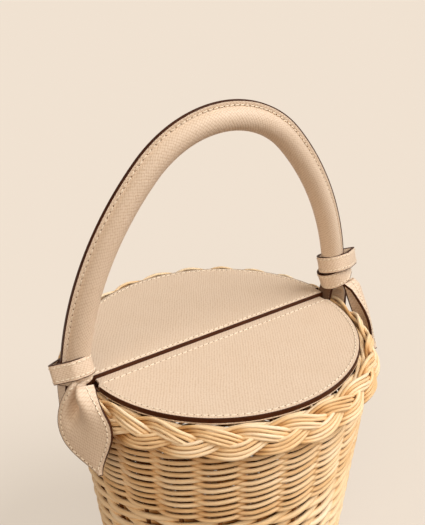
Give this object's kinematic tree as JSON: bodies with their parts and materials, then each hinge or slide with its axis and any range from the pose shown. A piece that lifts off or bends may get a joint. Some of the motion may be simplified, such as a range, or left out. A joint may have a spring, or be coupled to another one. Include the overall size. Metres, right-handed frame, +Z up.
{
  "type": "wicker bucket bag",
  "caption": "Round tapering wicker bucket bag with a split leather lid, a rolled leather top handle knotted to the rim and leaf-shaped strap ends.",
  "frame": {"origin": "centre of the basket's underside, on the surface it stands on", "axes": "+Z up, X along the lid's seam from handle foot to handle foot, -Y towards the half of the lid that opens"},
  "size_m": [0.2554, 0.2286, 0.3576],
  "materials": {
    "rattan": "satin natural rattan",
    "leather": "fine embossed cream leather with dark painted edges",
    "suede_lining": "matte brown suede",
    "board": "matte stiffener",
    "magnet_steel": "nickel plate",
    "cord_filler": "twisted cotton cord",
    "thread": "waxed thread",
    "edge_paint": "dark brown edge paint"
  },
  "bodies": {
    "basket": {"stakes": "rattan", "foot_wale": "rattan", "lower_weave": "rattan", "open_row_1": "rattan", "open_row_2": "rattan", "open_row_3": "rattan", "open_row_4": "rattan", "open_row_5": "rattan", "upper_weave": "rattan", "rim_braid": "rattan", "inner_rim_coil": "rattan", "base_sticks_lower": "rattan", "base_sticks_upper": "rattan", "base_weave": "rattan", "mouth_ring": "leather", "catch_plate": "magnet_steel", "rear_lid_leather": "leather", "rear_lid_board": "board", "rear_lid_lining": "suede_lining", "lid_hinge_strip": "leather", "rim_strap_left": "leather", "rim_strap_right": "leather"},
    "lid_front": {"flap_leather": "leather", "flap_board": "board", "flap_magnet": "magnet_steel", "flap_lining": "suede_lining"},
    "handle": {"handle_cover": "leather", "handle_core": "cord_filler", "knot_upper_left": "leather", "knot_lower_left": "leather", "knot_upper_right": "leather", "knot_lower_right": "leather"},
    "tail_left": {"leaf_tail_left": "leather"},
    "tail_right": {"leaf_tail_right": "leather"}
  },
  "joints": [
    {"name": "lid_open", "type": "hinge", "parent": "basket", "child": "lid_front", "pos_m": [0, -0.006, 0.1888], "axis": [-1, 0, 0], "range_deg": [0, 125]},
    {"name": "handle_tilt", "type": "hinge", "parent": "basket", "child": "handle", "pos_m": [0, 0, 0.182], "axis": [1, 0, 0], "range_deg": [-20, 20]},
    {"name": "tail_left_swing", "type": "hinge", "parent": "handle", "child": "tail_left", "pos_m": [-0.1236, -0.008, 0.193], "axis": [-0.4226, 0.9063, 0], "range_deg": [0, 45]},
    {"name": "tail_right_swing", "type": "hinge", "parent": "handle", "child": "tail_right", "pos_m": [0.1236, -0.007, 0.193], "axis": [-0.2079, -0.9781, 0], "range_deg": [0, 45]}
  ]
}
